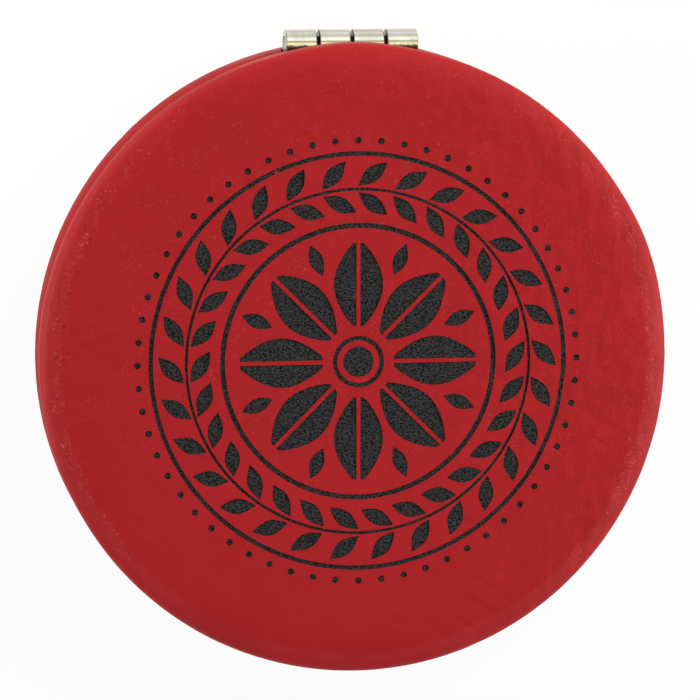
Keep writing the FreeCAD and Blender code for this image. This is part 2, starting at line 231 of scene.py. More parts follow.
def leather_grain_group():
    """Pressed leather grain: pebbles between fine valleys, pits and glints in patches, slow mottling.

    Pebbles are the cells of a warped Voronoi pattern; pits and glints are the low and high ends of
    one fine noise, kept where a patchy noise is high. Sizes are in metres.
    """
    tree, given, wanted = effect_group(
        "leather_grain", {"Pebble": 0.7 * MM, "Pore": 0.3 * MM, "Patch": 2.2 * MM, "Mottle": 7 * MM},
        ("Pebbles", "Fine", "Pits", "Glints", "Mottling"))
    link = tree.links.new

    def scaled(size, kind, **settings):
        made = node(tree, kind, {"Vector": given["Vector"]}, **settings)
        link(maths(tree, "DIVIDE", 1.0, given[size]), made.inputs["Scale"])
        return made

    warp = scaled("Pebble", "TexNoise")
    warp.inputs["Detail"].default_value = 2
    pull = node(tree, "VectorMath", {0: warp.outputs["Color"], 1: (0.5, 0.5, 0.5)}, operation="SUBTRACT")
    pulled = node(tree, "VectorMath", {0: pull.outputs[0]}, operation="SCALE")
    link(maths(tree, "MULTIPLY", given["Pebble"], 1.1), pulled.inputs["Scale"])
    place = node(tree, "VectorMath", {0: given["Vector"], 1: pulled.outputs[0]}, operation="ADD")
    cells = scaled("Pebble", "TexVoronoi", feature="DISTANCE_TO_EDGE")
    link(place.outputs[0], cells.inputs["Vector"])
    pebbles = spread_over(tree, cells.outputs["Distance"], 0.0, 0.28, 0.0, 1.0, smooth=True)
    link(pebbles, wanted["Pebbles"])
    fine = scaled("Pore", "TexNoise")
    fine.inputs["Detail"].default_value = 4
    fine.inputs["Roughness"].default_value = 0.65
    link(fine.outputs["Fac"], wanted["Fine"])
    patches = scaled("Patch", "TexNoise")
    patches.inputs["Detail"].default_value = 3
    patch = spread_over(tree, patches.outputs["Fac"], 0.44, 0.62, 0.15, 1.0, smooth=True)
    for end, low, high in (("Pits", 0.42, 0.32), ("Glints", 0.58, 0.68)):
        speck = spread_over(tree, fine.outputs["Fac"], low, high, 0.0, 1.0, smooth=True)
        link(maths(tree, "MULTIPLY", speck, patch), wanted[end])
    mottle = scaled("Mottle", "TexNoise")
    mottle.inputs["Detail"].default_value = 4
    link(mottle.outputs["Fac"], wanted["Mottling"])
    return tree


def handling_group():
    """Marks of use on polished faces: fine scratches, finger smudges and dust, sized in metres."""
    tree, given, wanted = effect_group(
        "handling_marks", {"Scratch": 0.5 * MM, "Smudge": 9 * MM, "Dust": 0.35 * MM},
        ("Scratches", "Smudges", "Specks"))
    link = tree.links.new

    def scaled(size, kind, vector):
        made = node(tree, kind, {"Vector": vector})
        link(maths(tree, "DIVIDE", 1.0, given[size]), made.inputs["Scale"])
        return made

    drawn = node(tree, "Mapping", {"Vector": given["Vector"], "Scale": (0.06, 1.0, 1.0)})
    drawn.inputs["Rotation"].default_value = (0.1, 0.2, 0.5)
    lines = scaled("Scratch", "TexNoise", drawn.outputs[0])
    lines.inputs["Detail"].default_value = 3
    link(spread_over(tree, lines.outputs["Fac"], 0.55, 0.75, 0.0, 1.0), wanted["Scratches"])
    smudge = scaled("Smudge", "TexNoise", given["Vector"])
    smudge.inputs["Detail"].default_value = 3
    smudge.inputs["Distortion"].default_value = 0.8
    link(spread_over(tree, smudge.outputs["Fac"], 0.42, 0.68, 0.0, 1.0, smooth=True), wanted["Smudges"])
    dust = scaled("Dust", "TexVoronoi", given["Vector"])
    link(spread_over(tree, dust.outputs["Distance"], 0.07, 0.1, 1.0, 0.0), wanted["Specks"])
    return tree


LEATHER_GRAIN = leather_grain_group()
HANDLING = handling_group()


def new_material(name):
    """A node material with one Principled surface; returns the material, its tree and that surface."""
    material = bpy.data.materials.new(name)
    material.use_nodes = True
    tree = material.node_tree
    tree.nodes.clear()
    surface = tree.nodes.new("ShaderNodeBsdfPrincipled")
    output = tree.nodes.new("ShaderNodeOutputMaterial")
    tree.links.new(surface.outputs["BSDF"], output.inputs["Surface"])
    return material, tree, surface


def place_group(tree, group, **sizes):
    """Places an effect group in a material on the piece's own Object coordinates."""
    coordinate = tree.nodes.new("ShaderNodeTexCoord")
    placed = tree.nodes.new("ShaderNodeGroup")
    placed.node_tree = group
    tree.links.new(coordinate.outputs["Object"], placed.inputs["Vector"])
    for name, value in sizes.items():
        placed.inputs[name].default_value = value
    return placed.outputs


def bump(tree, surface, height, depth):
    """Feeds a height of 0 to 1 to the surface's normal as relief of the given depth."""
    made = node(tree, "Bump", {"Height": height, "Distance": depth, "Strength": 1.0})
    tree.links.new(made.outputs["Normal"], surface.inputs["Normal"])


def weighted_sum(tree, *terms):
    """Sum of (value, weight) terms."""
    total = 0.0
    for value, weight in terms:
        total = node(tree, "Math", {0: value, 1: weight, 2: total}, operation="MULTIPLY_ADD").outputs[0]
    return total


# Colours of the leatherette, of the core under it, of the glass, of dust, and of painted shade on metal
RED_DEEP = (0.336, 0.0118, 0.0162, 1)
RED_PALE = (0.448, 0.0168, 0.0217, 1)
# Painted shade in the leatherette's pits, and painted highlights on its glints and lip
RED_PIT_SHADE = (0.22, 0.008, 0.009, 1)
RED_GLINT = (0.62, 0.085, 0.085, 1)
RED_LIP_HIGHLIGHT = (0.80, 0.16, 0.155, 1)
CHARCOAL_DEEP = (0.001, 0.001, 0.0012, 1)
CHARCOAL_PALE = (0.047, 0.047, 0.051, 1)
SILVERING = (0.91, 0.925, 0.925, 1)
DUST = (0.6, 0.6, 0.58, 1)
PAINTED_SHADE_COLOUR = (0.03, 0.028, 0.022, 1)

# How wide the leatherette's streaks and the engraving's passes are
STREAK_WIDTH = 0.95 * MM
PASS_WIDTH = 0.15 * MM

# Where the leatherette's finish changes, each from its first distance to its second: out from the
# axis, where the edges of the glossy band and of the band of painted glints wander by up to WANDER
SHOULDER = (CASE_RADIUS - SHOULDER_WIDTH, CASE_RADIUS)
WANDER = 1.2 * MM
PULLED_TIGHT = (30.1 * MM, 30.9 * MM)
# where the band of painted glints starts and where it ends
GLINT_BAND_START = (30.0 * MM, 30.5 * MM)
GLINT_BAND_END = (31.2 * MM, 31.6 * MM)
SIDE_WALL = (31.3 * MM, 31.5 * MM)
# up from where the rim's round ends, for the lip's painted highlight
LIP_START = (-0.6 * MM, -0.3 * MM)
LIP_END = (0.1 * MM, 0.7 * MM)
# to the right; to the left, for the lip's painted highlight; or out to both sides, for the band of
# painted glints
STREAKS_RIGHT = (4 * MM, 24 * MM)
HIGHLIGHT_LEFT = (-6 * MM, -24 * MM)
GLINT_BAND_SIDEWAYS = (17 * MM, 25 * MM)
# and towards the hinge, where the lip's painted highlight fades to half
WORKED_UP = (-22 * MM, 2 * MM)
LESS_HIGHLIGHT_UP = (6 * MM, 22 * MM)
LESS_GLOSSY = (3 * MM, 17 * MM)


def red_leatherette():
    """Pressed red leatherette, satin and worn smoother where the skin rolls over the edge.

    Long upright streaks, stretched noise, lie to the right, with thin crinkles where the noise
    crosses its middle; pebbles, pits and glints lie all over, fewest low on the left and most in a
    band near the edge on both sides, where more glints are painted. All of them shift the red a
    little and lift or dent the surface: the crinkles and pits are painted darker, as shade in the
    creases and pits, and the glints paler, as highlights on the grain. Past a wandering line the
    skin is pulled tight over the edge and glossier, less so towards the hinge; the lip at the foot
    of the side carries a paler painted highlight, most on the left.
    """
    material, tree, surface = new_material("red_leatherette")
    grain = place_group(tree, LEATHER_GRAIN)
    coordinate = tree.nodes.new("ShaderNodeTexCoord").outputs["Object"]
    along = node(tree, "SeparateXYZ", {0: coordinate}).outputs
    to_right = weighted_sum(tree, (along["X"], 1.0), (along["Y"], 0.1))
    streaky = spread_over(tree, to_right, *STREAKS_RIGHT, 0.12, 1.0, smooth=True)
    off_low_left = weighted_sum(tree, (along["Y"], 1.0), (maths(tree, "MAXIMUM", along["X"], 0.0), 0.5))
    worked = spread_over(tree, off_low_left, *WORKED_UP, 0.3, 1.0, smooth=True)
    radius = node(tree, "VectorMath", {0: coordinate, 1: (1, 1, 0)}, operation="MULTIPLY")
    from_axis = node(tree, "VectorMath", {0: radius.outputs[0]}, operation="LENGTH").outputs["Value"]
    rolled = spread_over(tree, from_axis, *SHOULDER, 0.0, 1.0, smooth=True)
    wandering = weighted_sum(tree, (from_axis, 1.0), (grain["Mottling"], WANDER))
    tight = spread_over(tree, wandering, *PULLED_TIGHT, 0.0, 1.0, smooth=True)
    from_middle = maths(tree, "ABSOLUTE", along["X"], 0.0)
    # Where the band of painted glints lies: out to both sides, just inside the edge
    at_sides = spread_over(tree, from_middle, *GLINT_BAND_SIDEWAYS, 0.0, 1.0)
    edged = maths(tree, "MULTIPLY", spread_over(tree, wandering, *GLINT_BAND_START, 0.0, 1.0),
                  spread_over(tree, wandering, *GLINT_BAND_END, 1.0, 0.0))
    rolling = maths(tree, "MULTIPLY", edged, at_sides)
    at_rim = spread_over(tree, from_axis, *SIDE_WALL, 0.0, 1.0)
    above_lip = weighted_sum(tree, (along["Z"], 1.0), (-PARTING - RIM_ROUND, 1.0))
    lip_line = maths(tree, "MULTIPLY", spread_over(tree, above_lip, *LIP_START, 0.0, 1.0),
                     spread_over(tree, above_lip, *LIP_END, 1.0, 0.0, smooth=True))
    # The lip's painted highlight is strongest on the left and weaker towards the hinge
    highlight_side = maths(tree, "MULTIPLY", spread_over(tree, along["X"], *HIGHLIGHT_LEFT, 0.25, 1.0),
                    spread_over(tree, along["Y"], *LESS_HIGHLIGHT_UP, 1.0, 0.5))
    lip_highlight = maths(tree, "MULTIPLY", maths(tree, "MULTIPLY", at_rim, lip_line), highlight_side)

    drawn = node(tree, "Mapping", {"Vector": coordinate, "Scale": (1.0, 0.3, 1.0)})
    noise = {"Scale": 1 / STREAK_WIDTH, "Detail": 3, "Roughness": 0.55, "Distortion": 0.5}
    streaks = node(tree, "TexNoise", {"Vector": drawn.outputs[0], **noise}).outputs["Fac"]
    swing = maths(tree, "SUBTRACT", streaks, 0.5)
    streak = maths(tree, "MULTIPLY", swing, streaky)
    line = spread_over(tree, maths(tree, "ABSOLUTE", swing, 0.0), 0.0, 0.025, 1.0, 0.0, smooth=True)
    crinkle = maths(tree, "MULTIPLY", line, maths(tree, "MULTIPLY", streaky, grain["Mottling"]))
    specked = weighted_sum(tree, (worked, 1.0), (rolling, 1.5))
    pits = maths(tree, "MULTIPLY", grain["Pits"], specked)
    # More glints painted in that band, broken up by the streaks
    edge_glints = maths(tree, "MULTIPLY", rolling, spread_over(tree, grain["Fine"], 0.5, 0.64, 0.0, 1.0))
    broken_edge_glints = maths(tree, "MULTIPLY", edge_glints, spread_over(tree, streaks, 0.44, 0.54, 0.0, 1.0))
    glints = weighted_sum(tree, (maths(tree, "MULTIPLY", grain["Glints"], specked), 1.0), (broken_edge_glints, 0.8))
    fine = maths(tree, "MULTIPLY", maths(tree, "SUBTRACT", grain["Fine"], 0.5), worked)
    pebbles = maths(tree, "MULTIPLY", grain["Pebbles"], worked)

    # Crinkle lines are painted darker, as shade in the creases
    tone = weighted_sum(tree, (streak, 1.4), (grain["Mottling"], 0.5), (pebbles, 0.05),
                        (fine, 0.2), (crinkle, -0.3))
    reds = blended(tree, spread_over(tree, tone, -0.1, 0.7, 0.0, 1.0), RED_DEEP, RED_PALE)
    # Pits are painted darker, as shade, and glints paler, as highlights
    pitted = blended(tree, maths(tree, "MULTIPLY", pits, 0.6), reds, RED_PIT_SHADE)
    glinting = blended(tree, maths(tree, "MULTIPLY", glints, 0.4), pitted, RED_GLINT)
    # A paler painted highlight on the lip
    tree.links.new(blended(tree, maths(tree, "MULTIPLY", lip_highlight, 0.85), glinting, RED_LIP_HIGHLIGHT),
                   surface.inputs["Base Color"])
    satin = weighted_sum(tree, (grain["Fine"], 0.2), (rolled, -0.1))
    tree.links.new(spread_over(tree, satin, 0.0, 0.2, 0.46, 0.62), surface.inputs["Roughness"])
    gloss = spread_over(tree, along["Y"], *LESS_GLOSSY, 0.35, 0.1, smooth=True)
    tree.links.new(maths(tree, "MULTIPLY", tight, gloss), surface.inputs["Coat Weight"])
    surface.inputs["Coat Roughness"].default_value = 0.5
    surface.inputs["Specular IOR Level"].default_value = 0.14
    relief = weighted_sum(tree, (streak, 0.07), (crinkle, -0.014), (pebbles, 0.006),
                          (fine, 0.01), (pits, -0.02), (glints, 0.012))
    bump(tree, surface, relief, MM)
    return material


def engraved_core():
    """Charcoal core laid bare by the engraving, with the fine sideways lines of its passes."""
    material, tree, surface = new_material("engraved_core")
    coordinate = tree.nodes.new("ShaderNodeTexCoord")
    drawn = node(tree, "Mapping", {"Vector": coordinate.outputs["Object"], "Scale": (0.6, 1.0, 1.0)})
    noise = {"Vector": drawn.outputs[0], "Scale": 1 / PASS_WIDTH, "Detail": 2, "Roughness": 0.7}
    passes = node(tree, "TexNoise", noise).outputs["Fac"]
    grain = place_group(tree, LEATHER_GRAIN)
    paler = spread_over(tree, passes, 0.41, 0.59, 0.0, 1.0)
    tree.links.new(blended(tree, paler, CHARCOAL_DEEP, CHARCOAL_PALE), surface.inputs["Base Color"])
    tree.links.new(spread_over(tree, grain["Fine"], 0.3, 0.7, 0.6, 0.78), surface.inputs["Roughness"])
    surface.inputs["Specular IOR Level"].default_value = 0.15
    bump(tree, surface, weighted_sum(tree, (passes, 0.02), (grain["Pebbles"], 0.01)), MM)
    return material


def slot_shade(tree):
    """Painted shade in the slots between knuckles: 1 within a slot's width of its middle, fading just
    past it.
    """
    coordinate = tree.nodes.new("ShaderNodeTexCoord").outputs["Object"]
    across = node(tree, "SeparateXYZ", {0: coordinate}).outputs["X"]
    from_middle = maths(tree, "ABSOLUTE", across, 0.0)
    from_outer = maths(tree, "ABSOLUTE", maths(tree, "SUBTRACT", from_middle, SLOT_PLACE), 0.0)
    nearest = maths(tree, "MINIMUM", from_middle, from_outer)
    return spread_over(tree, nearest, SLOT_HALF_WIDTH, 2 * SLOT_HALF_WIDTH, 1.0, 0.0, smooth=True)


def barrel_shade(tree):
    """Painted shade on the hinge barrel: in its slots, and a painted shadow in a ragged line along the
    top of the shut hinge.
    """
    coordinate = tree.nodes.new("ShaderNodeTexCoord").outputs["Object"]
    along = node(tree, "SeparateXYZ", {0: coordinate}).outputs
    noise = {"Vector": coordinate, "Scale": 1 / (0.5 * MM), "Detail": 3}
    ragged = maths(tree, "SUBTRACT", node(tree, "TexNoise", noise).outputs["Fac"], 0.5)
    # The ragged line is a painted shadow and dark reflection of the leather next to the barrel
    edge = weighted_sum(tree, (along["Y"], 1.0), (ragged, 0.4 * MM), (-HINGE_Y, 1.0))
    line = maths(tree, "MULTIPLY", spread_over(tree, edge, 0.08 * MM, 0.23 * MM, 0.85, 0.0),
                 spread_over(tree, edge, -0.8 * MM, -0.6 * MM, 0.0, 1.0))
    on_top = spread_over(tree, along["Z"], PARTING, PARTING + 0.5 * MM, 0.0, 1.0)
    return maths(tree, "MAXIMUM", slot_shade(tree), maths(tree, "MULTIPLY", line, on_top))


def polished_metal(name, colour, tarnish, roughness, scratch_depth, painted_shade=None, **marks):
    """Plated or drawn metal: tarnished and duller under smudges, fine scratches, painted shade where
    given.
    """
    material, tree, surface = new_material(name)
    used = place_group(tree, HANDLING, **marks)
    dulled = maths(tree, "MULTIPLY", used["Smudges"], 0.5)
    plating = blended(tree, dulled, colour, tarnish)
    worn = maths(tree, "ADD", used["Smudges"], used["Scratches"])
    if painted_shade:
        # Where given, painted shade darkens the plating and also roughens it
        shade_mask = painted_shade(tree)
        plating = blended(tree, shade_mask, plating, PAINTED_SHADE_COLOUR)
        worn = maths(tree, "ADD", worn, shade_mask)
    tree.links.new(plating, surface.inputs["Base Color"])
    tree.links.new(spread_over(tree, worn, 0.0, 2.0, *roughness), surface.inputs["Roughness"])
    surface.inputs["Metallic"].default_value = 1.0
    bump(tree, surface, used["Scratches"], scratch_depth)
    return material


def mirror_glass():
    """Silvered glass: nearly sharp, with faint smudges and a few specks of dust."""
    material, tree, surface = new_material("mirror_glass")
    used = place_group(tree, HANDLING, Smudge=14 * MM, Dust=1.6 * MM)
    specks = maths(tree, "MULTIPLY", used["Specks"], 0.35)
    tree.links.new(blended(tree, specks, SILVERING, DUST), surface.inputs["Base Color"])
    veil = maths(tree, "ADD", maths(tree, "MULTIPLY", used["Smudges"], 0.05), specks)
    tree.links.new(spread_over(tree, veil, 0.0, 1.0, 0.012, 0.6), surface.inputs["Roughness"])
    surface.inputs["Metallic"].default_value = 1.0
    return material


def matt_solid(name, dark, light, roughness, depth, **sizes):
    """Moulded plastic, foam or tape: two near shades in a fine grain, matt, with a shallow relief."""
    material, tree, surface = new_material(name)
    grain = place_group(tree, LEATHER_GRAIN, **sizes)
    tree.links.new(blended(tree, grain["Mottling"], dark, light), surface.inputs["Base Color"])
    tree.links.new(spread_over(tree, grain["Fine"], 0.3, 0.7, *roughness), surface.inputs["Roughness"])
    bump(tree, surface, grain["Fine"], depth)
    return material


# Finishes by their slot's name; matt ones take two shades, metals a colour and its tarnish, then
# both take the span of roughness and the depth of relief
FINISHES = {
    "red_leatherette": red_leatherette(),
    "engraved_core": engraved_core(),
    "foam": matt_solid("foam", (0.62, 0.6, 0.53, 1), (0.76, 0.74, 0.68, 1), (0.85, 0.95), 0.08 * MM,
                       Pore=0.5 * MM),
    "moulded_shell": matt_solid("moulded_shell", (0.022, 0.022, 0.024, 1), (0.034, 0.034, 0.036, 1),
                                (0.45, 0.6), 0.008 * MM),
    "adhesive_tape": matt_solid("adhesive_tape", (0.68, 0.68, 0.64, 1), (0.78, 0.78, 0.75, 1),
                                (0.6, 0.75), 0.01 * MM),
    "mirror_glass": mirror_glass(),
    "bright_bezel": polished_metal("bright_bezel", (0.80, 0.80, 0.81, 1), (0.66, 0.65, 0.63, 1),
                                   (0.08, 0.3), 0.002 * MM),
    "plated_hinge": polished_metal("plated_hinge", (0.80, 0.79, 0.76, 1), (0.66, 0.63, 0.55, 1),
                                   (0.05, 0.26), 0.002 * MM, barrel_shade, Smudge=2.5 * MM),
    "plated_magnet": polished_metal("plated_magnet", (0.66, 0.65, 0.62, 1), (0.5, 0.48, 0.44, 1),
                                    (0.2, 0.45), 0.003 * MM),
    "rivet_metal": polished_metal("rivet_metal", (0.72, 0.72, 0.73, 1), (0.55, 0.55, 0.55, 1),
                                  (0.18, 0.4), 0.003 * MM, Smudge=1.5 * MM),
    "pin_steel": polished_metal("pin_steel", (0.60, 0.60, 0.61, 1), (0.45, 0.44, 0.43, 1),
                                (0.2, 0.5), 0.003 * MM, slot_shade, Smudge=2.0 * MM),
}


# The leatherette covers

DISC_STEPS = 80
RING_SIZE = 8 * DISC_STEPS


def disc_grid(steps):
    """Square grid carried onto a unit disc: the k-th square ring becomes the k-th circle."""
    side = np.linspace(-1, 1, 2 * steps + 1)
    a, b = np.meshgrid(side, side)
    wide = np.abs(a) >= np.abs(b)
    ring = np.where(wide, a, b)
    share = np.where(wide, b, a) / np.where(ring == 0, 1, ring)
    angle = np.where(wide, share, 2 - share) * math.pi / 4
    return ring * np.cos(angle), ring * np.sin(angle)


def disc_rim(steps):
    """Point numbers round the square grid's edge, anticlockwise from its lower right corner."""
    across = 2 * steps + 1
    numbers = np.arange(across * across).reshape(across, across)
    return np.concatenate((numbers[:-1, -1], numbers[-1, :0:-1], numbers[:0:-1, 0], numbers[0, :-1]))


def cover_section():
    """Section of a cover from the start of its shoulder, over the edge, into the well and back inside.

    The shoulder is a quarter of a superellipse, (across / width)^2 + (height / drop)^3 = 1; the rest
    is straight runs joined by quarter circles. Also returns how many of its points show.
    """
    start = CASE_RADIUS - SHOULDER_WIDTH
    shoulder_foot = FACE_LEVEL - SHOULDER_DROP
    turn = np.radians(np.linspace(0, 90, 30))
    across_power, height_power = SHOULDER_POWERS
    across = SHOULDER_WIDTH * np.sin(turn) ** (2 / across_power)
    height = SHOULDER_DROP * np.cos(turn) ** (2 / height_power)
    shoulder = np.column_stack((start + across, shoulder_foot + height))
    rim_start = FLANGE_LEVEL + RIM_ROUND
    wall = run((CASE_RADIUS, shoulder_foot), (CASE_RADIUS, rim_start), 5)
    rim = arc((CASE_RADIUS - RIM_ROUND, rim_start), (RIM_ROUND, RIM_ROUND), 0, -90, 11)
    tuck_start = TUCK_RADIUS + TUCK_ROUND
    flange = run((CASE_RADIUS - RIM_ROUND, FLANGE_LEVEL), (tuck_start, FLANGE_LEVEL), 12)
    tuck = arc((tuck_start, FLANGE_LEVEL + TUCK_ROUND), (TUCK_ROUND, TUCK_ROUND), 270, 180, 6)
    lining = run((TUCK_RADIUS, FLANGE_LEVEL + TUCK_ROUND), (TUCK_RADIUS, TUCK_DEPTH), 4)
    inner_wall = CASE_RADIUS - SKIN
    inner_foot = FACE_LEVEL - SKIN - INNER_ROUND
    back = np.array(((TUCK_RADIUS + TUCKED_SKIN, TUCK_DEPTH),
                     (TUCK_RADIUS + TUCKED_SKIN, FLANGE_LEVEL + SKIN),
                     (inner_wall, FLANGE_LEVEL + SKIN)))
    corner = arc((inner_wall - INNER_ROUND, inner_foot), (INNER_ROUND, INNER_ROUND), 0, 90, 5)
    shown = np.concatenate((shoulder, wall[1:], rim[1:], flange[1:], tuck[1:], lining[1:]))
    return np.concatenate((shown, back, corner)), len(shown)


# Relief of the leatherette
SWELL_HEIGHT = 0.02 * MM
DIMPLE_HEIGHT = 0.024 * MM
PEBBLE_HEIGHT = 0.02 * MM
CREASE_DEPTH = 0.03 * MM
PLEATS = 29
PLEAT_DEPTH = 0.12 * MM


def leather_relief(u, v):
    """Height of the skin over its flat cut: slow swells, dimples, pebbles and creases.

    A crease runs along each zero line of a wave field, as a bell curve of its value. Creases run
    mostly along Y on the right, and slantwise low on the right; the rest stays smoother.
    """
    swell = wave_field(u, v, (7 * MM, 15 * MM), heading=0, spread=3, count=40, seed=3)
    dimple = wave_field(u, v, (2.8 * MM, 5 * MM), heading=0, spread=3, count=50, seed=4)
    pebble = wave_field(u, v, (1.5 * MM, 2.4 * MM), heading=0, spread=3, count=60, seed=5)
    upright = wave_field(u, v, (3.2 * MM, 6.5 * MM), heading=0.1, spread=0.35, count=50, seed=8)
    slanted = wave_field(u, v, (3.0 * MM, 6.0 * MM), heading=0.9, spread=0.3, count=50, seed=13)
    patches = wave_field(u, v, (9 * MM, 18 * MM), heading=0, spread=3, count=30, seed=21)
    patchy = smoothstep(patches, -0.6, 0.9)
    right = smoothstep(u + 0.25 * v, 2 * MM, 20 * MM)
    low_right = smoothstep(u - v, 16 * MM, 34 * MM) * smoothstep(u, 2 * MM, 13 * MM)
    creases = np.exp(-(upright / 0.4) ** 2) * right * (1 - low_right)
    creases += 3 * np.exp(-(slanted / 0.35) ** 2) * low_right
    grain_share = 0.6 + 0.4 * smoothstep(v + 0.3 * u, -18 * MM, 4 * MM)
    grain = DIMPLE_HEIGHT * dimple + PEBBLE_HEIGHT * pebble
    return SWELL_HEIGHT * swell + grain * grain_share - CREASE_DEPTH * creases * patchy


def flange_pleats(angle):
    """Depth of the small gathers where the skin tucks into the well: sharpened waves of the angle."""
    wave = np.sin(PLEATS * angle + 2.2 * np.sin(5 * angle) + 1.1 * np.sin(13 * angle))
    return PLEAT_DEPTH * smoothstep(np.abs(wave), 0.45, 0.0) * (0.6 + 0.4 * np.sin(7 * angle + 0.8))


def edge_swell(angle, swells):
    """How far the side stands out: the bell curves height * exp(-(turn / spread)^2) of all swells."""
    height_out = np.zeros_like(angle)
    for middle, spread, height in swells:
        turn = (np.degrees(angle) - middle + 180) % 360 - 180
        height_out += height * np.exp(-(turn / spread) ** 2)
    return height_out


def cover_points(swells):
    """Points of a cover in its half: a grid over the face, then rings down the section, then a pole.

    Each point moves along the section's normal by the relief at its place on the flat cut, which is
    its distance along the section at its angle. The relief fades down the side, which swells in places.
    """
    face_radius = CASE_RADIUS - SHOULDER_WIDTH
    x, y = (face_radius * part.ravel() for part in disc_grid(DISC_STEPS))
    face = np.column_stack((x, y, FACE_LEVEL + leather_relief(x, y)))

    section, shown_count = cover_section()
    step = np.gradient(section, axis=0)
    step /= np.linalg.norm(step, axis=1, keepdims=True)
    lengths = np.linalg.norm(np.diff(section, axis=0), axis=1)
    reach = face_radius + np.concatenate(((0,), np.cumsum(lengths)))
    angle = np.arange(RING_SIZE) * 2 * math.pi / RING_SIZE - math.pi / 4
    flat_u = np.multiply.outer(reach, np.cos(angle))
    flat_v = np.multiply.outer(reach, np.sin(angle))
    level = section[:, 1:]
    outer = section[:, :1] > CASE_RADIUS - RIM_ROUND / 2
    rim_reach = reach[np.argmax(section[:, 1] < FLANGE_LEVEL + RIM_ROUND - HAIR)]
    skin_share = 1 - smoothstep(reach[:, None], rim_reach, rim_reach + RIM_ROUND)
    skin_share *= 1 - 0.85 * smoothstep(section[:, :1], CASE_RADIUS - 2.2 * MM, CASE_RADIUS - 0.4 * MM)
    shown = np.arange(len(section))[:, None] < shown_count
    on_flange = shown & ~outer & (level < FLANGE_LEVEL + TUCK_ROUND + HAIR)
    towards_well = smoothstep(-section[:, :1], -CASE_RADIUS + 1.5 * MM, -TUCK_RADIUS)
    pleat_share = np.where(on_flange, towards_well, 0.0)
    lift = skin_share * leather_relief(flat_u, flat_v) - pleat_share * flange_pleats(angle)
    at_side = np.where(shown, smoothstep(section[:, :1], CASE_RADIUS - 2 * MM, CASE_RADIUS), 0.0)
    radius = section[:, :1] - step[:, 1:] * lift + at_side * edge_swell(angle, swells)
    height = level + step[:, :1] * lift
    rings = np.stack((radius * np.cos(angle), radius * np.sin(angle), height), -1)
    pole = np.array(((0, 0, FACE_LEVEL - SKIN),))
    return np.concatenate((face, rings[1:].reshape(-1, 3), pole)), len(section)


def cover_faces(rings):
    """Quads of the face grid and of the rings joined to its edge, and a fan at the pole inside."""
    across = 2 * DISC_STEPS + 1
    numbers = np.arange(across * across).reshape(across, across)
    corners = (numbers[:-1, :-1], numbers[:-1, 1:], numbers[1:, 1:], numbers[1:, :-1])
    face = np.stack(corners, -1).reshape(-1, 4)
    first = across * across
    rim = disc_rim(DISC_STEPS)
    ring = first + np.arange(RING_SIZE)
    joined = np.stack((rim, ring, np.roll(ring, -1), np.roll(rim, -1)), -1)
    walls = ring_faces(first, RING_SIZE, rings - 1)
    last = first + (rings - 2) * RING_SIZE + np.arange(RING_SIZE)
    pole = np.full(RING_SIZE, first + (rings - 1) * RING_SIZE)
    fan = np.stack((last, pole, np.roll(last, -1)), -1)
    return np.concatenate((face, joined, walls)).tolist() + fan.tolist()


def prisms(outlines, low, high):
    """Upright prisms on closed outlines (shapes, points, xy): side quads and a cap at each end."""
    shapes, count = outlines.shape[:2]
    levels = np.full((shapes, 2, count, 3), low)
    levels[..., :2] = outlines[:, None]
    levels[:, 1, :, 2] = high
    start = (2 * count * np.arange(shapes))[:, None]
    turn = np.arange(count)
    after = np.roll(turn, -1)
    sides = np.stack((start + turn, start + after, start + count + after, start + count + turn), -1)
    floors = start + turn[::-1]
    tops = start + count + turn
    return levels.reshape(-1, 3), sides.reshape(-1, 4).tolist() + floors.tolist() + tops.tolist()


def ring_prism(inner, outer, low, high, count):
    """A flat ring with square section, as four closed rings of points joined by quads."""
    angle = np.arange(count) * 2 * math.pi / count
    radius = np.array((inner, inner, outer, outer))[:, None]
    level = np.array((low, high, high, low))[:, None] + 0 * angle
    points = np.stack((radius * np.cos(angle), radius * np.sin(angle), level), -1).reshape(-1, 3)
    sides = ring_faces(0, count, 4)
    turn = np.arange(count)
    closing = np.stack((3 * count + turn, turn, np.roll(turn, -1), 3 * count + np.roll(turn, -1)), -1)
    return points, np.concatenate((sides, closing)).tolist()


def turned(outline, angles):
    """Copies of an outline turned about the middle by each angle, which counts clockwise from +Y."""
    c, s = np.cos(angles)[:, None], np.sin(angles)[:, None]
    x, y = outline[:, 0], outline[:, 1]
    return np.stack((c * x + s * y, c * y - s * x), -1)


def leaf_outline(foot, length, half_width, fullness, vein, count):
    """Half a leaf to the right of its vein: half_width * sin(pi t)^fullness from a straight edge."""
    t = np.linspace(0, 1, count)
    bulge = vein + half_width * np.sin(math.pi * t) ** fullness
    inner = np.array(((vein, foot + length * 0.97), (vein, foot + length * 0.03)))
    outer = np.column_stack((bulge, foot + length * t))[1:-1]
    return np.concatenate((outer, inner))


def whole_leaf(length, half_width, count):
    """A pointed leaf about +Y: half_width * sin(pi t) on both sides of its middle line."""
    t = np.linspace(0, 1, count)
    side = half_width * np.sin(math.pi * t)
    right = np.column_stack((side, length * t))[:-1]
    left = np.column_stack((-side, length * t))[:0:-1]
    return np.concatenate((right, left))


def circle_outline(radius, middle, count):
    """A circle as a closed outline, anticlockwise."""
    angle = np.arange(count) * 2 * math.pi / count
    return np.column_stack((middle[0] + radius * np.cos(angle), middle[1] + radius * np.sin(angle)))


def mirrored(outline):
    """The outline's mirror image in the Y axis, kept anticlockwise."""
    return (outline * (-1, 1))[::-1]


PETALS = 8
BORDER_LEAVES = 30
BORDER_LEAN = math.radians(52)
BEADS = 60
# Inner and outer radius of each ring in millimetres, and how many points go round one
ROSETTE_RINGS = ((2.15, 2.6), (13.5, 14.0), (17.25, 17.55), (20.75, 21.2))
ROSETTE_RING_POINTS = 220


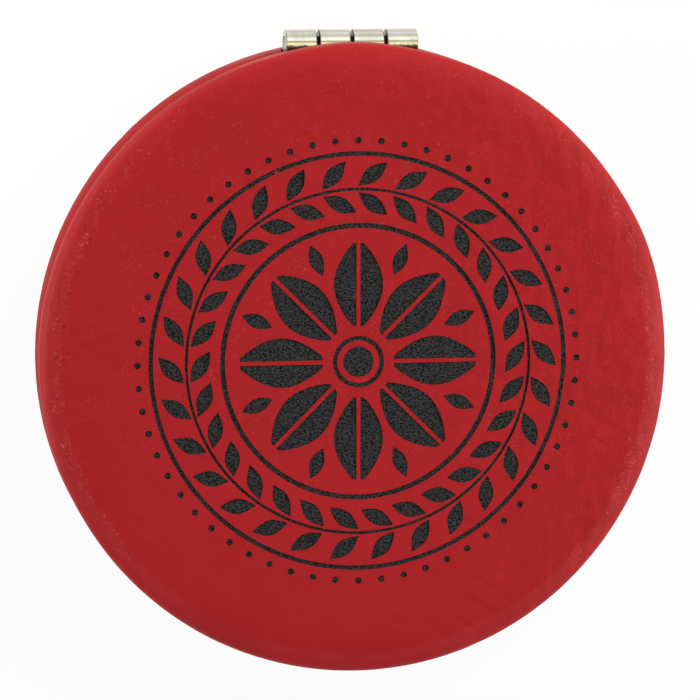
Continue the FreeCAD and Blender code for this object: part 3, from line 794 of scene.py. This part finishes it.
def rosette_shapes():
    """Closed outlines of the rosette: split petals, slim leaves between, a leafy border and beads."""
    around_petals = np.arange(PETALS) * 2 * math.pi / PETALS
    half_petal = leaf_outline(foot=3.3 * MM, length=9.0 * MM, half_width=2.3 * MM, fullness=0.85,
                              vein=0.2 * MM, count=26)
    slim = whole_leaf(length=3.4 * MM, half_width=0.72 * MM, count=14) + (0, 9.4 * MM)
    shapes = [turned(half_petal, around_petals), turned(mirrored(half_petal), around_petals),
              turned(slim, around_petals + math.pi / PETALS),
              circle_outline(radius=1.55 * MM, middle=(0, 0), count=40)[None]]
    around_border = np.arange(BORDER_LEAVES) * 2 * math.pi / BORDER_LEAVES
    leaf = whole_leaf(length=3.7 * MM, half_width=0.78 * MM, count=14)
    outward = turned(leaf, np.array((BORDER_LEAN,)))[0] + (0, 17.75 * MM)
    inward = turned(leaf, np.array((math.pi - BORDER_LEAN,)))[0] + (0, 17.05 * MM)
    bead = circle_outline(radius=0.34 * MM, middle=(0, 22.3 * MM), count=12)
    around_beads = np.arange(BEADS) * 2 * math.pi / BEADS
    shapes += [turned(outward, around_border), turned(inward, around_border),
               turned(bead, around_beads)]
    return shapes


def rosette_cutter(half):
    """All shapes of the rosette as one closed cutter, down to the engraving's depth in the face."""
    low, high = FACE_LEVEL - ENGRAVING_DEPTH, FACE_LEVEL + CUTTER_HEADROOM
    parts = [prisms(shape, low, high) for shape in rosette_shapes()]
    parts += [ring_prism(inner * MM, outer * MM, low, high, ROSETTE_RING_POINTS)
              for inner, outer in ROSETTE_RINGS]
    points = np.concatenate([part[0] for part in parts])
    starts = np.cumsum([0] + [len(part[0]) for part in parts[:-1]])
    faces = [[number + int(start) for number in face]
             for start, part in zip(starts, parts) for face in part[1]]
    skins = [FINISHES["red_leatherette"], FINISHES["engraved_core"]]
    return mesh_piece("rosette_cutter", half_to_frame(points, half), faces, skins,
                      np.ones(len(faces), np.int32))


def notch_cutter(half):
    """A block past the rim, as wide and high as the notch that the hinge barrel turns in."""
    corners = np.array(((-NOTCH_HALF_WIDTH, NOTCH_START), (NOTCH_HALF_WIDTH, NOTCH_START),
                        (NOTCH_HALF_WIDTH, CASE_RADIUS + MM), (-NOTCH_HALF_WIDTH, CASE_RADIUS + MM)))
    points, faces = prisms(corners[None], -MM, NOTCH_LEVEL)
    return mesh_piece("notch_cutter", half_to_frame(points, half), faces, [FINISHES["red_leatherette"]])


def make_cover(half):
    """A half's leatherette cover, notched for the hinge and, on the lid, engraved."""
    points, rings = cover_points(LID_SWELLS if half == "lid" else ())
    skins = [FINISHES["red_leatherette"], FINISHES["engraved_core"]]
    cover = mesh_piece(f"{half}_leatherette", half_to_frame(points, half), cover_faces(rings), skins)
    cut(cover, notch_cutter(half))
    if half == "lid":
        cut(cover, rosette_cutter(half))
    shade(cover, COVER_SHARP)
    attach(cover, half)
    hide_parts(f"{half}_cover")


FOAM_SECTION_POINTS = 15
FOAM_RING_POINTS = 160


def make_foam_pad(half):
    """The thin foam disc under a cover: a section with a soft edge, turned about the middle.

    The edge is a superellipse, (across / width)^4 + (height / half_height)^4 = 1, and as wide as
    the pad is thick.
    """
    low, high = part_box(f"{half}_foam_pad")
    middle, half_height = (low.z + high.z) / 2, (high.z - low.z) / 2
    turn = np.radians(np.linspace(90, -90, FOAM_SECTION_POINTS))[1:-1]
    soft = np.sign(np.sin(turn)) * np.abs(np.sin(turn)) ** 0.5
    radius = high.x - 2 * half_height * (1 - np.cos(turn) ** 0.5)
    angle = np.arange(FOAM_RING_POINTS) * 2 * math.pi / FOAM_RING_POINTS
    x = np.multiply.outer(radius, np.cos(angle))
    y = np.multiply.outer(radius, np.sin(angle))
    z = middle + half_height * soft[:, None] + 0 * angle
    rings = np.stack((x, y, z), -1)
    poles = np.array(((0, 0, high.z), (0, 0, low.z)))
    points = np.concatenate((rings.reshape(-1, 3), poles))
    count, last = len(angle), (len(turn) - 1) * len(angle)
    ring = np.arange(count)
    top = np.stack((np.full(count, len(points) - 2), ring, np.roll(ring, -1)), -1)
    bottom = np.stack((last + ring, np.full(count, len(points) - 1), last + np.roll(ring, -1)), -1)
    faces = ring_faces(0, count, len(turn)).tolist() + top.tolist() + bottom.tolist()
    pad = mesh_piece(f"{half}_foam", points, faces, [FINISHES["foam"]])
    shade(pad, FOAM_SHARP)
    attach(pad, half)
    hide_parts(f"{half}_foam_pad")


for half in HALVES:
    make_cover(half)
    make_foam_pad(half)

# The other solids keep their shape and get their finish
for part in frame["record"]["subparts"]:
    for place in frame["nodes"][part["node"]].material_slots:
        place.material = FINISHES[part["material_slot"]]


# Camera: a long lens above the lid, a little to the left and towards the hinge

CAMERA_LEFT = math.radians(8.72)
CAMERA_TOWARDS_HINGE = math.radians(7.32)
CAMERA_DISTANCE = 0.450
CAMERA_LENS = 227.7
AIM_ABOVE_MIDDLE = 0.49 * MM
AIM_LEFT_OF_MIDDLE = 0.02 * MM

camera = bpy.data.cameras.new("camera")
camera.lens = CAMERA_LENS
camera.sensor_width = 36
camera.clip_start = 0.01
camera_object = bpy.data.objects.new("camera", camera)
bpy.context.scene.collection.objects.link(camera_object)
back = Vector((-math.sin(CAMERA_LEFT) * math.cos(CAMERA_TOWARDS_HINGE), math.sin(CAMERA_TOWARDS_HINGE),
               math.cos(CAMERA_LEFT) * math.cos(CAMERA_TOWARDS_HINGE)))
across = Vector((0, 1, 0)).cross(back).normalized()
upward = back.cross(across)
aim = Vector((0, 0, PARTING)) + upward * AIM_ABOVE_MIDDLE - across * AIM_LEFT_OF_MIDDLE
turn_to_view = Matrix((across, upward, back)).transposed().to_4x4()
camera_object.matrix_world = Matrix.Translation(aim + back * CAMERA_DISTANCE) @ turn_to_view
bpy.context.scene.camera = camera_object


# Studio: a pale floor, a pale surround and soft panels

# What the hinge mirrors of the floor behind it, by the share of this distance along Y
FLOOR_BANDS_REACH = 0.15
FLOOR_BANDS = (
    (0.0, (0.80, 0.80, 0.78, 1)),
    (0.235, (0.91, 0.90, 0.82, 1)),
    (0.255, (0.87, 0.85, 0.74, 1)),
    (0.28, (0.71, 0.69, 0.61, 1)),
    (0.32, (0.83, 0.82, 0.72, 1)),
    (0.42, (0.98, 0.97, 0.89, 1)),
    (1.0, (0.80, 0.78, 0.74, 1)),
)

# What metal mirrors of the surround on the hinge's side, by the sine of its height
SURROUND_BANDS = (
    (0.0, (0.60, 0.59, 0.55, 1)),
    (0.34, (0.56, 0.56, 0.49, 1)),
    (0.46, (0.95, 0.95, 0.88, 1)),
    (0.72, (1.0, 0.96, 0.84, 1)),
    (0.80, (0.42, 0.37, 0.23, 1)),
    (0.86, (0.46, 0.41, 0.25, 1)),
    (0.90, (0.92, 0.86, 0.55, 1)),
    (0.985, (0.92, 0.83, 0.50, 1)),
    (1.0, (0.60, 0.58, 0.52, 1)),
)


def banded_colour(tree, value, bands):
    """Colour of a value from 0 to 1 by a list of (place, colour) bands, blended between them."""
    ramp = node(tree, "ValToRGB", {"Fac": value})
    elements = ramp.color_ramp.elements
    for place, _ in bands[:-2]:
        elements.new(place)
    for element, (place, colour) in zip(elements, bands):
        element.position, element.color = place, colour
    return ramp.outputs["Color"]


WHITE = (1, 1, 1, 1)
FLOOR_REACH = 1.5
FLOOR_LEVEL = -0.15 * MM
FLOOR_COLOUR = (0.9, 0.9, 0.9, 1)
# Warm light that the floor sends back at the upper left
BOUNCE_COLOUR = (1, 0.93, 0.82, 1)
BOUNCE_STRENGTH = 0.45
# The surround's light on matt faces, and what gloss shows of it: on the right, and on the hinge's
# side straight behind the hinge and to its sides
SOFT_STRENGTH = 0.29
PALE_STRENGTH = 2.4
WARM_PALE = (0.30, 0.22, 0.08, 1)
BANDED_STRENGTHS = (1.3, 0.75)


def make_floor():
    """A wide flat sheet just under the base: nearly white to the camera, with a soft shadow."""
    corners = ((-1, -1), (1, -1), (1, 1), (-1, 1))
    points = np.array([(FLOOR_REACH * x, FLOOR_REACH * y, FLOOR_LEVEL) for x, y in corners])
    material = bpy.data.materials.new("pale_floor")
    material.use_nodes = True
    tree = material.node_tree
    tree.nodes.clear()
    path = tree.nodes.new("ShaderNodeLightPath").outputs
    direct = maths(tree, "MAXIMUM", path["Is Camera Ray"], path["Is Transmission Ray"])
    seen = weighted_sum(tree, (direct, 0.94), (path["Is Glossy Ray"], 1.0))
    place = tree.nodes.new("ShaderNodeTexCoord").outputs["Object"]
    along = node(tree, "SeparateXYZ", {0: place}).outputs
    behind = spread_over(tree, along["Y"], 0.0, FLOOR_BANDS_REACH, 0.0, 1.0)
    in_metal = banded_colour(tree, behind, FLOOR_BANDS)
    past_hinge = maths(tree, "MULTIPLY", spread_over(tree, along["Y"], 0.028, 0.033, 0.0, 0.7),
                       spread_over(tree, along["X"], -0.016, -0.009, 0.0, 1.0))
    in_front = spread_over(tree, along["Y"], -0.033, -0.06, 0.3, 0.8)
    strength = maths(tree, "MAXIMUM", direct, maths(tree, "ADD", past_hinge, in_front))
    upper_left = weighted_sum(tree, (along["X"], -0.6), (along["Y"], 0.8))
    matt = node(tree, "BsdfDiffuse", {"Color": FLOOR_COLOUR})
    sent_back = spread_over(tree, upper_left, 0.0, 0.05, 0.0, BOUNCE_STRENGTH)
    bounce = node(tree, "Emission", {"Color": BOUNCE_COLOUR, "Strength": sent_back})
    lit = node(tree, "AddShader", {0: matt.outputs[0], 1: bounce.outputs[0]})
    glow_colour = blended(tree, direct, in_metal, WHITE)
    glow = node(tree, "Emission", {"Color": glow_colour, "Strength": strength})
    mixed = node(tree, "MixShader", {0: seen, 1: lit.outputs[0], 2: glow.outputs[0]})
    node(tree, "OutputMaterial", {"Surface": mixed.outputs[0]})
    mesh_piece("floor", points, [[0, 1, 2, 3]], [material])


def towards_hinge(tree, direction):
    """How far a direction lies towards the hinge and a little to the right."""
    along = node(tree, "SeparateXYZ", {0: direction}).outputs
    return weighted_sum(tree, (along["X"], 0.35), (along["Y"], 0.94))


def make_world():
    """A pale surround, white where it is seen directly.

    In gloss it shows bands towards the hinge, brightest straight behind it, and pale light to the
    left and right, which turns warm at the upper right and fades away from the hinge.
    """
    world = bpy.data.worlds.new("studio")
    world.use_nodes = True
    tree = world.node_tree
    tree.nodes.clear()
    path = tree.nodes.new("ShaderNodeLightPath").outputs
    direction = tree.nodes.new("ShaderNodeTexCoord").outputs["Generated"]
    along = node(tree, "SeparateXYZ", {0: direction}).outputs
    away = spread_over(tree, along["Y"], -0.65, -0.15, 0.15, 1.0)
    leftward = maths(tree, "MULTIPLY", along["X"], -1.0)
    left = maths(tree, "ADD", spread_over(tree, leftward, 0.15, 0.5, 0.3, 0.42),
                 spread_over(tree, leftward, 0.75, 0.95, 0.0, 1.2))
    dim = node(tree, "Background", {"Color": WHITE, "Strength": maths(tree, "MULTIPLY", left, away)})
    warmth = spread_over(tree, along["Y"], -0.1, 0.25, 0.0, 1.0, smooth=True)
    pale = node(tree, "Background", {"Color": blended(tree, warmth, WHITE, WARM_PALE),
                                     "Strength": maths(tree, "MULTIPLY", away, PALE_STRENGTH)})
    sideways = maths(tree, "ABSOLUTE", maths(tree, "ADD", along["X"], back.x), 0.0)
    bands = banded_colour(tree, along["Z"], SURROUND_BANDS)
    band_strength = spread_over(tree, sideways, 0.06, 0.14, *BANDED_STRENGTHS)
    banded = node(tree, "Background", {"Color": bands, "Strength": band_strength})
    soft = node(tree, "Background", {"Color": WHITE, "Strength": SOFT_STRENGTH})
    white = node(tree, "Background", {"Color": WHITE, "Strength": 1.0})
    facing = spread_over(tree, towards_hinge(tree, direction), -0.15, 0.25, 0.0, 1.0, smooth=True)
    rightward = spread_over(tree, along["X"], 0.25, 0.5, 0.0, 1.0, smooth=True)
    hingeward = node(tree, "MixShader", {0: facing, 1: dim.outputs[0], 2: banded.outputs[0]})
    in_metal = node(tree, "MixShader", {0: rightward, 1: hingeward.outputs[0], 2: pale.outputs[0]})
    direct = maths(tree, "MAXIMUM", path["Is Camera Ray"], path["Is Transmission Ray"])
    lit = node(tree, "MixShader", {0: path["Is Glossy Ray"], 1: soft.outputs[0], 2: in_metal.outputs[0]})
    mixed = node(tree, "MixShader", {0: direct, 1: lit.outputs[0], 2: white.outputs[0]})
    node(tree, "OutputWorld", {"Surface": mixed.outputs[0]})
    bpy.context.scene.world = world


def make_panel(name, place, size, power, colour):
    """A soft rectangular panel light that faces the middle of the compact and isn't seen in gloss."""
    light = bpy.data.lights.new(name, "AREA")
    light.shape = "RECTANGLE"
    light.size, light.size_y = size
    light.energy = power
    light.color = colour
    panel = bpy.data.objects.new(name, light)
    bpy.context.scene.collection.objects.link(panel)
    panel.matrix_world = (Matrix.Translation(place)
                          @ Vector(place).to_track_quat("Z", "Y").to_matrix().to_4x4())
    panel.visible_glossy = False


# Name, place, size, power in watts and colour of each panel
PANELS = (
    ("key_panel", (0.24, 0.25, 0.25), (0.26, 0.18), 1.05, (1.0, 0.92, 0.73)),
    ("right_panel", (0.39, 0.06, 0.15), (0.3, 0.2), 0.85, (1.0, 1.0, 1.0)),
    ("left_panel", (-0.42, 0.03, 0.12), (0.3, 0.12), 0.72, (1.0, 1.0, 1.0)),
    ("warm_panel", (-0.36, 0.33, 0.07), (0.3, 0.1), 0.9, (1.0, 0.86, 0.62)),
    ("front_panel", (-0.10, -0.44, 0.05), (0.3, 0.08), 0.58, (1.0, 1.0, 1.0)),
    ("top_panel", (-0.10, -0.02, 0.75), (0.6, 0.6), 0.55, (1.0, 0.98, 0.95)),
)

make_floor()
make_world()
for panel in PANELS:
    make_panel(*panel)
bpy.context.scene.view_settings.view_transform = "Standard"
